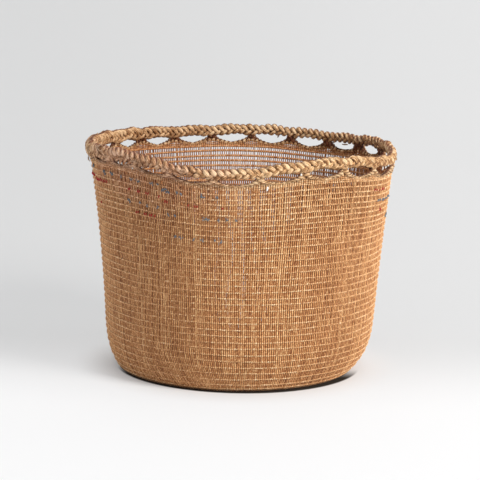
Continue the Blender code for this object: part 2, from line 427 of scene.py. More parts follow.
@dataclass
class Strands:
    """A straight tube of radius 1 along Z, cut into lengths, that is copied and laid along courses.

    Repeats, each 1 long, are welded end to end, and copies of the tube stand side by side.
    """

    sides: int
    lengths: int
    repeats: int = 1
    copies: int = 1
    capped: bool = False

    def __post_init__(self) -> None:
        """Models the tube and finds the place of each vertex on it."""
        self.blank = self.model()
        points = vertex_points(self.blank)
        self.copy = np.round(points[:, 0] / APART).astype(int)
        level = np.round(points[:, 2] * self.lengths).astype(int)
        self.places = np.arange(level.max() + 1) / self.lengths
        self.ring = self.copy * len(self.places) + level
        self.x, self.y, self.z = points[:, 0] - self.copy * APART, points[:, 1], points[:, 2]

    def model(self) -> Piece:
        """Models the tube.

        Returns:
            The tube, from z = 0 to z = repeats.
        """
        pick()
        bpy.ops.mesh.primitive_cylinder_add(
            vertices=self.sides, radius=1.0, depth=1.0, location=(0.0, 0.0, 0.5),
            end_fill_type="NGON" if self.capped else "NOTHING",
        )
        tube = named("strand blank")
        select_edges(tube, lambda low, high: abs(low.z - high.z) > 0.5)
        edit(bpy.ops.mesh.subdivide, number_cuts=self.lengths - 1)
        along, beside = (0.0, 0.0, 1.0), (APART, 0.0, 0.0)
        for count, step, weld in ((self.repeats, along, True), (self.copies, beside, False)):
            if count > 1:
                repeat = tube.modifiers.new("repeat", "ARRAY")
                repeat.use_relative_offset = False
                repeat.use_constant_offset = True
                repeat.constant_offset_displace = step
                repeat.count = count
                repeat.use_merge_vertices = weld
                repeat.merge_threshold = 0.0005
                bpy.ops.object.modifier_apply(modifier=repeat.name)
        bpy.ops.object.shade_smooth()
        return tube

    def shaped(self, name: str, points: Array, fibre: Array, tone: Array, crown: Array) -> Piece:
        """A copy of the tube, with every vertex moved and with what its material reads there.

        Args:
            name: name of the copy.
            points: the new places, one row each.
            fibre: place in the grain, one row of three for each vertex.
            tone: from 0, dark, to 1, pale.
            crown: from 0, in a pit, to 1, proud.

        Returns:
            The copy, with a mesh of its own.
        """
        piece = self.blank.copy()
        piece.data = self.blank.data.copy()
        piece.name = piece.data.name = name
        bpy.context.scene.collection.objects.link(piece)
        piece.data.vertices.foreach_set("co", points.ravel())
        for label, values in (("fibre", fibre), ("tone", tone), ("crown", crown)):
            kind, key = ("FLOAT_VECTOR", "vector") if values.ndim == 2 else ("FLOAT", "value")
            layer = piece.data.attributes.new(name=label, type=kind, domain="POINT")
            layer.data.foreach_set(key, np.ascontiguousarray(values, np.float32).ravel())
        piece.data.update()
        return piece

    def lay(self, name: str, course: Course) -> Piece:
        """Lays a copy of the tube along a course.

        Args:
            name: name of the strand.
            course: its course, with a row of entries for each tube where the blank holds several.

        Returns:
            The strand.
        """
        centre, outward = course.line
        tangent = unit(np.gradient(centre, axis=-2))
        outward = unit(outward - (outward * tangent).sum(-1, keepdims=True) * tangent)
        side = np.cross(outward, tangent)
        around = np.arctan2(self.y, self.x)

        def at_vertices(values: Array | float) -> Array:
            """Values of the course at each vertex."""
            return np.broadcast_to(values, centre.shape[:-1]).reshape(-1)[self.ring]

        def swung(turn: Array, size: Array | float, way: Array) -> Array:
            """Distance of each vertex from the middle line, one way across the strand."""
            return (bump * turn * at_vertices(size))[:, None] * way.reshape(-1, 3)[self.ring]

        bump = np.hypot(self.x, self.y) * (1 + course.ridge * np.cos(around * 10))
        across = swung(np.cos(around), course.half_width, side)
        beyond = swung(np.sin(around), course.half_depth, outward)
        points = centre.reshape(-1, 3)[self.ring] + across + beyond
        grain = run_of(centre) * 1000.0 if course.grain is None else course.grain
        shift = GRAIN_SHIFT * at_vertices(course.number)
        fibre = np.stack([np.cos(around) + shift, np.sin(around), at_vertices(grain)], axis=-1)
        # The finish paints shade where the crown is low; the flank setting lowers it on the strand's sides
        crown = course.crown(around) if callable(course.crown) else at_vertices(course.crown)
        crown = crown * (1 - course.flank_shade * np.clip((np.abs(np.cos(around)) - 0.55) / 0.40, 0.0, 1.0))
        return self.shaped(name, points, fibre, at_vertices(course.tone), crown)

    def done(self) -> None:
        """Clears the blank away."""
        bpy.data.objects.remove(self.blank)


# Finishes


class Nodes:
    """A shader node tree under construction, with short ways to add nodes."""

    def __init__(self, tree: Tree) -> None:
        """Takes up a tree."""
        self.tree = tree

    def fill(self, sockets: object, values: dict[str | int, object]) -> None:
        """Gives inputs a number or a colour, or links another socket to them.

        Args:
            sockets: inputs of a node.
            values: number, colour or socket by the input's name or place.
        """
        for key, value in values.items():
            if isinstance(value, Socket):
                self.tree.links.new(value, sockets[key])
            else:
                sockets[key].default_value = value

    def add(self, kind: str, values: dict[str | int, object] | None = None, **settings: object) -> Node:
        """Adds a node.

        Args:
            kind: its type, without the words ShaderNode.
            values: what its inputs get.
            settings: its settings.

        Returns:
            The node.
        """
        node = self.tree.nodes.new(f"ShaderNode{kind}")
        for name, value in settings.items():
            setattr(node, name, value)
        self.fill(node.inputs, values or {})
        return node

    def maths(self, operation: str, first: object, second: object) -> Socket:
        """A Math node on two numbers or sockets."""
        return self.add("Math", {0: first, 1: second}, operation=operation).outputs[0]

    def times(self, first: object, second: object) -> Socket:
        """The product of two numbers or sockets."""
        return self.maths("MULTIPLY", first, second)

    def ramp(self, value: Socket, low: float, high: float) -> Socket:
        """A value taken from its range low to high onto 0 to 1, with soft ends."""
        values = {"Value": value, "From Min": low, "From Max": high}
        return self.add("MapRange", values, interpolation_type="SMOOTHSTEP").outputs["Result"]

    def mixed(self, share: Socket, first: object, second: object, blend: str = "MIX") -> Socket:
        """Two colours mixed by a share."""
        colours = [(*colour, 1.0) if isinstance(colour, tuple) else colour for colour in (first, second)]
        values = {0: share, 6: colours[0], 7: colours[1]}
        return self.add("Mix", values, data_type="RGBA", blend_type=blend).outputs[2]

    def noise(self, vector: Socket, scale: float, detail: float) -> Socket:
        """A noise texture's value at a vector."""
        return self.add("TexNoise", {"Vector": vector, "Scale": scale, "Detail": detail}).outputs["Fac"]

    def stretched(self, vector: Socket, scale: Colour) -> Socket:
        """A vector multiplied along each axis."""
        return self.add("VectorMath", {0: vector, 1: scale}, operation="MULTIPLY").outputs[0]


class Group(Nodes):
    """A shared node group under construction."""

    def __init__(self, name: str, inputs: dict[str, str], outputs: tuple[str, ...]) -> None:
        """Makes the group and its sockets.

        Args:
            name: name of the group.
            inputs: Vector or Float by input name.
            outputs: names of the outputs, which are all numbers.
        """
        super().__init__(bpy.data.node_groups.new(name, "ShaderNodeTree"))
        sockets = [(label, "INPUT", kind) for label, kind in inputs.items()]
        for label, way, kind in sockets + [(label, "OUTPUT", "Float") for label in outputs]:
            self.tree.interface.new_socket(name=label, in_out=way, socket_type=f"NodeSocket{kind}")
        self.given = self.tree.nodes.new("NodeGroupInput").outputs
        self.result = self.tree.nodes.new("NodeGroupOutput").inputs


class Coat(Nodes):
    """A material under construction, round its Principled shader."""

    def __init__(self, name: str) -> None:
        """Makes the material.

        Args:
            name: its name.
        """
        self.material = bpy.data.materials.new(name)
        self.material.use_nodes = True
        super().__init__(self.material.node_tree)
        self.shader = self.tree.nodes["Principled BSDF"]

    def attribute(self, name: str, output: str = "Fac") -> Socket:
        """An attribute of the piece."""
        return self.add("Attribute", attribute_name=name).outputs[output]

    def fibres(self, group: Tree, strength: float, depth: float) -> dict[str, Socket]:
        """Adds the grain of a strand's fibres and their bump.

        Args:
            group: the group of the grain.
            strength: strength of the bump.
            depth: depth of the bump in metres.

        Returns:
            The masks of the grain.
        """
        fibre = self.attribute("fibre", "Vector")
        grain = self.add("Group", node_tree=group)
        self.fill(grain.inputs, {"Fibre": fibre, "Depth": 1.0})
        bump = {"Strength": strength, "Distance": depth, "Height": grain.outputs["Height"]}
        self.fill(self.shader.inputs, {"Normal": self.add("Bump", bump).outputs["Normal"]})
        return grain.outputs


def fibre_group() -> Tree:
    """Builds the grain of split grass, which runs along a strand.

    Returns:
        A group from the fibre attribute to a streak mask, a blotch mask and a height.
    """
    group = Group("Grass fibre", {"Fibre": "Vector", "Depth": "Float"}, ("Streak", "Blotch", "Height"))
    group.tree.interface.items_tree["Depth"].default_value = 1.0
    fibre = group.given["Fibre"]
    streak = group.ramp(group.noise(group.stretched(fibre, (2.6, 2.6, 0.10)), 1.6, 4.0), 0.34, 0.66)
    blotch = group.ramp(group.noise(group.stretched(fibre, (0.7, 0.7, 0.30)), 1.0, 3.0), 0.36, 0.66)
    height = group.times(streak, group.given["Depth"])
    group.fill(group.result, {"Streak": streak, "Blotch": blotch, "Height": height})
    return group.tree


def age_and_shade_group() -> Tree:
    """Builds signs of age and painted shade: greyed grass, flecks, a browner left side that is partly painted
    shade, and painted shade on the outer foot and on the inside.

    Returns:
        A group from a place on the basket, and the way that its surface faces, to a mask of each.
    """
    masks = ("Weathered", "Browned and left shade", "Fleck", "Painted foot shade", "Inside")
    group = Group("Age, handling and painted shade", {"Place": "Vector", "Facing": "Vector"}, masks)
    place = group.given["Place"]
    x, y, z = group.add("SeparateXYZ", {0: place}).outputs
    cloudy = group.ramp(group.noise(place, 26.0, 4.0), 0.30, 0.65)
    swing = group.times(group.maths("SUBTRACT", group.noise(place, 9.0, 2.0), 0.5), 0.16)
    left = group.ramp(group.maths("ADD", group.times(x, -1.0), swing), -0.02, 0.10)
    high = group.times(group.ramp(z, 0.150, 0.205), group.ramp(y, 0.04, -0.04))
    specks = group.ramp(group.noise(place, 800.0, 2.0), 0.34, 0.66)
    # Positive where the surface faces away from the basket's axis
    facing = {0: group.stretched(place, (1.0, 1.0, 0.0)), 1: group.given["Facing"]}
    turned = group.add("VectorMath", facing, operation="DOT_PRODUCT").outputs["Value"]
    group.fill(group.result, {
        "Weathered": group.times(group.times(left, high), cloudy),
        # Browner, darker grass on the left: partly browned grass, partly painted shade of the left side
        "Browned and left shade": group.times(left, group.maths("ADD", group.times(cloudy, 0.5), 0.5)),
        "Fleck": group.maths("SUBTRACT", specks, 0.5),
        # Painted shade: near black on outward-facing surfaces within a few millimetres of the floor, a dark
        # contact line
        "Painted foot shade": group.times(group.ramp(turned, 0.01, 0.06), group.ramp(z, 0.0026, 0.0010)),
        # Painted shade on surfaces that face the basket's axis, the inside of the wall
        "Inside": group.ramp(turned, 0.0, -0.05),
    })
    return group.tree


@dataclass(frozen=True)
class StrawFinish:
    """Dry grass: its colours from dark to pale, how its grain, age and sheen show, and how much shade is
    painted into it.
    """

    name: str
    dark: Colour
    mid: Colour
    pale: Colour
    streak_share: float = 0.35
    roughness: float = 0.52
    bump: float = 0.5
    bump_depth: float = 0.0002
    weathered: float = 0.8
    # Share of browned grass and painted shade on the left side
    browned_and_shaded: float = 0.5
    # Strength of the painted shade in pits and on flanks, where the crown attribute is low
    crevice_shade: float = 0.6
    flecks: float = 0.6
    # Strength of the painted shade on inward-facing surfaces
    inside: float = 1.0

    def make(self, groups: dict[str, Tree]) -> Material:
        """Builds the material.

        Args:
            groups: the shared node groups by name.

        Returns:
            The material.
        """
        coat = Coat(self.name)
        coat.material.diffuse_color = (*self.mid, 1.0)
        grain = coat.fibres(groups["fibre"], self.bump, self.bump_depth)
        place = coat.add("TexCoord").outputs
        # Its masks hold painted shade as well as signs of age
        age = coat.add("Group", node_tree=groups["age"])
        coat.fill(age.inputs, {"Place": place["Object"], "Facing": place["Normal"]})
        marks_and_shade = age.outputs
        base = coat.add("ValToRGB")
        stops = base.color_ramp.elements
        stops.new(0.5)
        for stop, colour in zip(stops, (self.dark, self.mid, self.pale)):
            stop.color = (*colour, 1.0)
        level = coat.attribute("tone")
        for mask in ("Streak", "Blotch"):
            lean = coat.times(coat.maths("SUBTRACT", grain[mask], 0.5), self.streak_share)
            level = coat.maths("ADD", level, lean)
        coat.fill(base.inputs, {0: coat.maths("ADD", level, coat.times(marks_and_shade["Fleck"], self.flecks))})
        colour = base.outputs[0]
        for share, tint in (
            # Browned grass and painted shade, darker on the left side
            (coat.times(marks_and_shade["Browned and left shade"], self.browned_and_shaded), (0.66, 0.47, 0.38)),
            (coat.times(marks_and_shade["Weathered"], self.weathered), (0.97, 0.93, 1.12)),
            # Painted shade in pits, at crossings and on strand flanks, where the crown is low
            (coat.times(coat.ramp(coat.attribute("crown"), 0.62, 0.0), self.crevice_shade), (0.22, 0.095, 0.055)),
            # Painted shade on the inside of the basket
            (coat.times(marks_and_shade["Inside"], self.inside), (0.80, 0.62, 0.50)),
            # Painted shade of the contact line along the outer foot
            (marks_and_shade["Painted foot shade"], (0.07, 0.05, 0.04)),
        ):
            colour = coat.mixed(share, colour, tint, "MULTIPLY")
        gloss = {"Value": grain["Streak"], "To Min": self.roughness - 0.10, "To Max": self.roughness + 0.14}
        rough = coat.add("MapRange", gloss).outputs["Result"]
        coat.fill(coat.shader.inputs, {"Base Color": colour, "Roughness": rough, "Specular IOR Level": 0.35})
        return coat.material


@dataclass(frozen=True)
class WoolFinish:
    """Spun wool: a dyed colour, its faded one, and the grain of its fibres."""

    name: str
    dyed: Colour
    faded: Colour

    def make(self, groups: dict[str, Tree]) -> Material:
        """Builds the material.

        Args:
            groups: the shared node groups by name.

        Returns:
            The material.
        """
        coat = Coat(self.name)
        coat.material.diffuse_color = (*self.dyed, 1.0)
        grain = coat.fibres(groups["fibre"], 0.6, 0.0002)
        share = coat.times(coat.maths("ADD", coat.attribute("tone"), grain["Streak"]), 0.5)
        colour = coat.mixed(share, self.dyed, self.faded)
        coat.fill(coat.shader.inputs, {"Base Color": colour, "Roughness": 0.9, "Sheen Weight": 0.06})
        return coat.material


@dataclass
class Finishes:
    """All materials of the basket, made once."""

    made: dict[Slot, Material] = field(default_factory=dict)
    bleached: Material | None = None

    def make(self) -> None:
        """Builds the shared groups and every finish."""
        stem = StrawFinish(
            "upright_stem_straw", (0.27, 0.094, 0.031), (0.575, 0.256, 0.090), (0.90, 0.56, 0.27),
            browned_and_shaded=0.10, crevice_shade=0.95, flecks=0.45,
        )
        twining = StrawFinish(
            "twining_strand_straw", (0.34, 0.140, 0.050), (0.74, 0.405, 0.175), (0.99, 0.80, 0.52),
            browned_and_shaded=0.10, crevice_shade=0.7, flecks=0.10,
        )
        braid = StrawFinish(
            "braid_strand_straw", (0.28, 0.125, 0.045), (0.64, 0.352, 0.152), (0.95, 0.67, 0.39),
            streak_share=0.75, bump=0.9, bump_depth=0.0005, weathered=0.9, browned_and_shaded=0.3, crevice_shade=1.0,
            inside=0.0, flecks=0.3,
        )
        base = StrawFinish("base_straw_dull", (0.22, 0.10, 0.035), (0.44, 0.23, 0.085), (0.66, 0.42, 0.20))
        red = WoolFinish("red_wool_yarn", (0.34, 0.006, 0.010), (0.42, 0.025, 0.022))
        blue = WoolFinish("blue_wool_yarn", (0.07, 0.10, 0.14), (0.26, 0.27, 0.27))
        groups = {"fibre": fibre_group(), "age": age_and_shade_group()}
        slots = (Slot.STEM, Slot.TWINING, Slot.BRAID, Slot.BASE, Slot.RED_WOOL, Slot.BLUE_WOOL)
        for slot, finish in zip(slots, (stem, twining, braid, base, red, blue)):
            self.made[slot] = finish.make(groups)
        self.bleached = WoolFinish("bleached_yarn", (0.80, 0.76, 0.70), (0.90, 0.87, 0.82)).make(groups)

    def dress(self, piece: Piece, slot: Slot, *nodes: str, bleached: bool = False) -> None:
        """Gives a piece its material, its place in the frame and the nodes that it stands for.

        Args:
            piece: the piece.
            slot: the finish.
            nodes: names of the CAD nodes that it replaces.
            bleached: whether it is yarn that lost its dye.
        """
        piece.data.materials.clear()
        piece.data.materials.append(self.bleached if bleached else self.made[slot])
        if nodes:
            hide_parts(*nodes)
        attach(piece, BODY)
        faces = sum(len(face.vertices) - 2 for face in piece.data.polygons)
        LOG.info("%s: %d triangles", piece.name, faces)


# Wall


@dataclass(frozen=True)
class Twine:
    """A gauge of two-strand twining: how often it passes outside the stems all round, and its sizes."""

    holds: int
    half_height: float
    half_depth: float
    out: float
    rise: float
    sides: int = 5
    cuts: int = 8
    # Painted shade on the sides of the strands
    flank_shade: float = 0.0
    rear_swell: float = 0.0

    def strands(self) -> Strands:
        """The tube for one strand, with one repeat for two holds."""
        return Strands(self.sides, self.cuts, self.holds // 2)


@dataclass
class Work:
    """One kind of work on the basket, with its own unevenness.

    Strands is the tube that it is working with, and places are positions along that tube.
    """

    form: BasketForm
    finishes: Finishes
    seed: int = 0

    def __post_init__(self) -> None:
        """Sets up the source of the unevenness."""
        self.rng = np.random.default_rng(self.seed)

    def take(self, strands: Strands) -> None:
        """Takes up a tube to lay strands from."""
        self.strands, self.places = strands, strands.places


@dataclass
class Wall(Work):
    """The upright stems and the twined rows that hold them."""

    seed: int = 7
    stem_half_depth: float = 0.00088
    stem_foot: float = 0.0011
    stem_top_gap: float = 0.0006
    stem_cuts: int = 36
    cut_crowding: float = 1.12
    stray_waves: tuple[Values, ...] = ((0.00005, 38.0), (0.00003, 90.0), (0.00003, 210.0))
    taper_heights: Values = (0.0, 0.06, 0.12, 0.155, 0.175, 0.20)
    taper_half_widths: Values = (0.00095, 0.00098, 0.00101, 0.00099, 0.00073, 0.00058)
    fine_twine: Twine = Twine(418, 0.00052, 0.00046, 0.00122, 0.00034)
    upper_twine: Twine = Twine(418, 0.00062, 0.00048, 0.00124, 0.00046, rear_swell=0.6)
    upper_rows: int = 8
    upper_zone: Values = (0.160, 0.185)
    upper_stray: float = 0.00028
    front_swell: float = 0.25
    rear_slimming: float = 0.24
    width_range: Values = (0.95, 1.05)
    width_wave: Values = (0.04, 150.0)
    proud_stray: float = 0.00010
    proud_wave: Values = (0.00006, 120.0)
    stem_tone: Values = (0.51, 0.075)
    tone_wave: Values = (0.05, 60.0)
    tone_speckle: float = 0.08
    upper_lift: float = 0.13
    pale_share: float = 0.05
    pale_lift: float = 0.20
    wander_waves: tuple[Values, ...] = ((0.00022, 2), (0.00016, 3), (0.00014, 7), (0.00010, 15))
    wander_range: Values = (0.4, 1.4)
    hold_push: float = 0.00008
    hold_lift: float = 0.00010
    hold_swell: float = 0.08
    pinch: float = 0.55
    row_tone: Values = (0.43, 0.12)
    row_tone_wave: Values = (0.04, 6.0)
    hidden_shade: float = 0.60
    side_shade: float = 0.12
    faded_shade: float = 0.14
    faded_at: float = -26.0
    faded_width: float = 18.0
    border_cord: Twine = Twine(198, 0.00105, 0.00085, 0.00125, 0.00085, sides=8, cuts=10, flank_shade=0.3)
    corner_rows: Values = (0.0019, 0.0042)
    border_shares: Values = (0.22, 0.46, 0.70)

    def build(self) -> None:
        """Makes every bundle of stems and every twined row."""
        self.uprights()
        self.rng = np.random.default_rng(self.seed + 1)
        self.twined_rows()

    def uprights(self) -> None:
        """Makes the stems, one piece for each bundle."""
        form, rng, count = self.form, self.rng, self.form.stems_per_bundle
        strands = Strands(6, self.stem_cuts, copies=count, capped=True)
        for bundle in range(form.bundles):
            even = form.stem_at(bundle * count + np.arange(count))[:, None]
            top = form.mound(even) - self.stem_top_gap
            height = self.stem_foot + strands.places**self.cut_crowding * (top - self.stem_foot)
            upper = np.interp(height, self.upper_zone, (0.0, 1.0))
            waves = rng.uniform(0, tau, (3, count, 1))
            strays = zip(self.stray_waves, waves)
            stray = sum(ripple(height, phase, *wave) for wave, phase in strays)
            width = np.interp(height, self.taper_heights, self.taper_half_widths)
            width = width * rng.uniform(*self.width_range, (count, 1))
            width = width * (1 + ripple(height, waves[1], *self.width_wave))
            swell = np.where(np.cos(even) > 0, self.front_swell, self.rear_slimming) * np.cos(even)
            width = width * (1 + upper * swell)
            stray = stray + upper * rng.normal(0, self.upper_stray, (count, 1))
            proud = rng.normal(0, self.proud_stray, (count, 1)) + ripple(height, waves[0], *self.proud_wave)
            tone = np.clip(rng.normal(*self.stem_tone, (count, 1)), 0.02, 0.95)
            pale = rng.random((count, 1)) < self.pale_share
            tone = np.where(pale, np.clip(tone + self.pale_lift, 0, 1), tone)
            tone = tone + ripple(height, waves[2], *self.tone_wave) + self.upper_lift * upper
            speckle = rng.normal(0, self.tone_speckle, tone.shape) * (1 + upper)
            around = even + stray / form.wall_radius(height)
            # The crown falls to 0 on each stem's sides, where the finish paints dark shade between the stems
            course = Course(
                line=form.line(form.on_wall, around, proud, height),
                half_width=width, half_depth=self.stem_half_depth,
                tone=np.clip(tone + speckle, 0.0, 1.0),
                number=np.arange(count)[:, None], crown=lambda turn: np.abs(np.sin(turn)) ** 3,
                grain=5.0 * np.arange(self.stem_cuts + 1),
            )
            stems = strands.lay(f"stems_{bundle + 1:02d}", course)
            self.finishes.dress(stems, Slot.STEM, f"warp_bundle_{bundle + 1:02d}")
        strands.done()

    def twined_rows(self) -> None:
        """Makes the rows of the wall, the close rows of the corner and those of the border."""
        form, fine, cord = self.form, self.fine_twine, self.border_cord
        bundles = [f"warp_bundle_{bundle + 1:02d}" for bundle in range(form.bundles)]
        strands = fine.strands()
        for index, height in enumerate(form.row_heights()):
            wander = self.row_wander()
            twine = self.upper_twine if index >= form.rows - self.upper_rows else fine
            row = self.row(strands, twine, lambda even: height + wander(even), f"twining_row_{index + 1:02d}")
            self.finishes.dress(row, Slot.TWINING, f"weft_row_{index + 1:02d}")
        for index, height in enumerate(self.corner_rows):
            row = self.row(strands, fine, lambda even: height, f"corner_row_{index + 1}")
            self.finishes.dress(row, Slot.TWINING, "base")
        for index, share in enumerate(self.border_shares):
            level = lambda even: form.top_row + (form.mound(even) - form.top_row) * share
            row = self.row(strands, fine, level, f"border_row_{index + 1}")
            self.finishes.dress(row, Slot.TWINING, *bundles)
        strands.done()
        strands = cord.strands()
        edge = self.row(strands, cord, lambda even: form.mound(even) - cord.half_height, "border_cord")
        self.finishes.dress(edge, Slot.BRAID, *bundles)
        strands.done()

    def row_wander(self) -> Callable[[Array], Array]:
        """The slow rise and fall of one row over its level, by even angle."""
        count = len(self.wander_waves)
        shares, phases = self.rng.uniform(*self.wander_range, count), self.rng.uniform(0, tau, count)
        sizes, rates = np.array(self.wander_waves).T
        waves = list(zip(phases, sizes * shares, rates))
        return lambda even: sum(ripple(even, *wave) for wave in waves)

    def row(self, strands: Strands, twine: Twine, level: Callable[[Array], Array], name: str) -> Piece:
        """One row of twining: two strands that change places between every two stems.

        Args:
            strands: the tube for one strand.
            twine: the gauge.
            level: height of the row at an even angle.
            name: name of the row.

        Returns:
            The row as one piece.
        """
        form = self.form
        place = 2 * strands.places
        nearest = np.round(place).astype(int) % twine.holds
        hold = np.cos(pi * (place - np.round(place))) ** 2
        even = form.stem_at(place * form.stems / twine.holds)
        pair = []
        for number in range(2):
            turn = pi * (place + number)
            push, lift, swell = self.rng.normal(0, 1, (3, twine.holds))[:, nearest] * hold
            out = twine.out * np.cos(turn) + self.hold_push * push
            height = level(even) + twine.rise * np.sin(turn) + self.hold_lift * lift
            shown = np.cos(turn) ** 2
            tone = self.rng.normal(*self.row_tone, twine.holds)[nearest]
            tone += ripple(even, 0.0, *self.row_tone_wave)
            tone += self.hidden_shade * (shown - 0.5) - self.side_shade * np.abs(np.sin(even))
            tone -= self.faded_shade * bell(even, self.faded_at, self.faded_width)
            size = 1 + self.hold_swell * swell + self.pinch * (hold - 0.5)
            size = size * (1 + twine.rear_swell * np.clip(-np.cos(even), 0.0, 1.0))
            # Crown is how far the strand shows outside, so the finish paints shade where the two strands
            # cross
            course = Course(
                line=form.line(form.on_wall, even, out, height), number=number,
                half_width=twine.half_height * size, half_depth=twine.half_depth * size,
                tone=np.clip(tone, 0.0, 1.0), crown=shown, flank_shade=twine.flank_shade,
            )
            pair.append(strands.lay(f"{name} strand {number + 1}", course))
        row = join(pair, name)
        weld_ends(row)
        return row


# Posts under the braid


@dataclass
class Posts(Work):
    """The gathered ends of each bundle: two corded legs that cross as they rise into the braid."""

    seed: int = 19
    plies: int = 2
    cuts: int = 44
    left_leg_behind: float = 0.7
    sway: float = 0.00025
    crossing_gap: float = 0.0011
    crowded_girth: float = 0.6
    lay_length: float = 0.0080
    ply_size: float = 0.72
    ply_offset: float = 0.56
    tone: Values = (0.62, 0.14)
    girth_places: Values = (0.0, 0.25, 0.5, 0.8, 1.0)
    girth: Values = (0.0009, 0.0016, 0.0022, 0.0022, 0.0021)

    def build(self) -> None:
        """Makes one post for each bundle."""
        self.take(Strands(6, self.cuts, capped=True))
        for index in range(self.form.bundles):
            plies = []
            swap = 1 if self.rng.random() < self.left_leg_behind else -1
            for side in (-1, 1):
                line = self.leg_line(side, swap, self.rng.normal(0, self.sway, 3)[0])
                for ply in range(self.plies):
                    course = self.course(index, side, ply, line)
                    plies.append(self.strands.lay(f"post {index} {side} {ply}", course))
            post = join(plies, f"post_{index + 1:02d}")
            self.finishes.dress(post, Slot.BRAID, f"warp_bundle_{index + 1:02d}")
        self.strands.done()

    def leg_line(self, side: int, swap: int, sway: float) -> Array:
        """Middle line of one leg as sideways, outward and upward distances over the dip.

        Args:
            side: -1 for the left leg, 1 for the right one.
            swap: which leg crosses in front.
            sway: small lean of this leg.

        Returns:
            One row for each place along it.
        """
        form = self.form
        half = form.bundle_angle / 2 * form.rim_wall_radius
        front = self.crossing_gap * side * swap
        knots = np.array([
            [half, 0.0006, -0.0006],
            [half * 0.66, 0.0010, 0.0006],
            [half * 0.40, 0.0014, 0.0018],
            [half * 0.25, 0.0014, 0.0029],
            [half * 0.14, 0.0012 + front * 0.5, 0.0042],
            [half * 0.04, 0.0008 + front, 0.0056],
            [-half * 0.08, 0.0004 + front * 0.3, 0.0071],
            [-half * 0.10, -0.0004, 0.0090],
            [-half * 0.03, -0.0012, form.rim_height - form.dip],
        ])
        knots[:, 0] *= side
        knots[4:, 0] += sway
        return smooth_path(knots, self.places)

    def course(self, index: int, side: int, ply: int, line: Array) -> Course:
        """Course of one ply of one leg.

        Args:
            index: number of the post.
            side: -1 for the left leg, 1 for the right one.
            ply: number of the ply.
            line: middle line of the leg.

        Returns:
            The course.
        """
        form = self.form
        size = np.interp(self.places, self.girth_places, self.girth)
        size = size * (1 + self.crowded_girth * form.crowded(form.post_angle(index)))
        turn = (side * run_of(line) / self.lay_length * tau + ply * tau / self.plies)[:, None]
        tangent = unit(np.gradient(line, axis=0))
        normal = unit(np.cross(tangent, np.array([0.0, 1.0, 0.0])))
        ring_off = np.cos(turn) * normal + np.sin(turn) * np.cross(tangent, normal)
        strand = line + self.ply_offset * size[:, None] * ring_off
        even = form.post_angle(index) + strand[:, 0] / form.rim_wall_radius
        # Plies that lie further back get a low crown, and their sides a lower one, where the finish paints
        # shade
        return Course(
            line=form.line(form.on_wall, even, strand[:, 1], form.dip + strand[:, 2]),
            half_width=self.ply_size * size, half_depth=self.ply_size * size,
            tone=np.clip(self.rng.normal(*self.tone), 0.1, 0.95), number=ply + 5 * side,
            crown=np.clip(0.5 + 0.9 * (strand[:, 1] - line[:, 1]) / size, 0.0, 1.0),
            flank_shade=0.95,
        )


# Braid


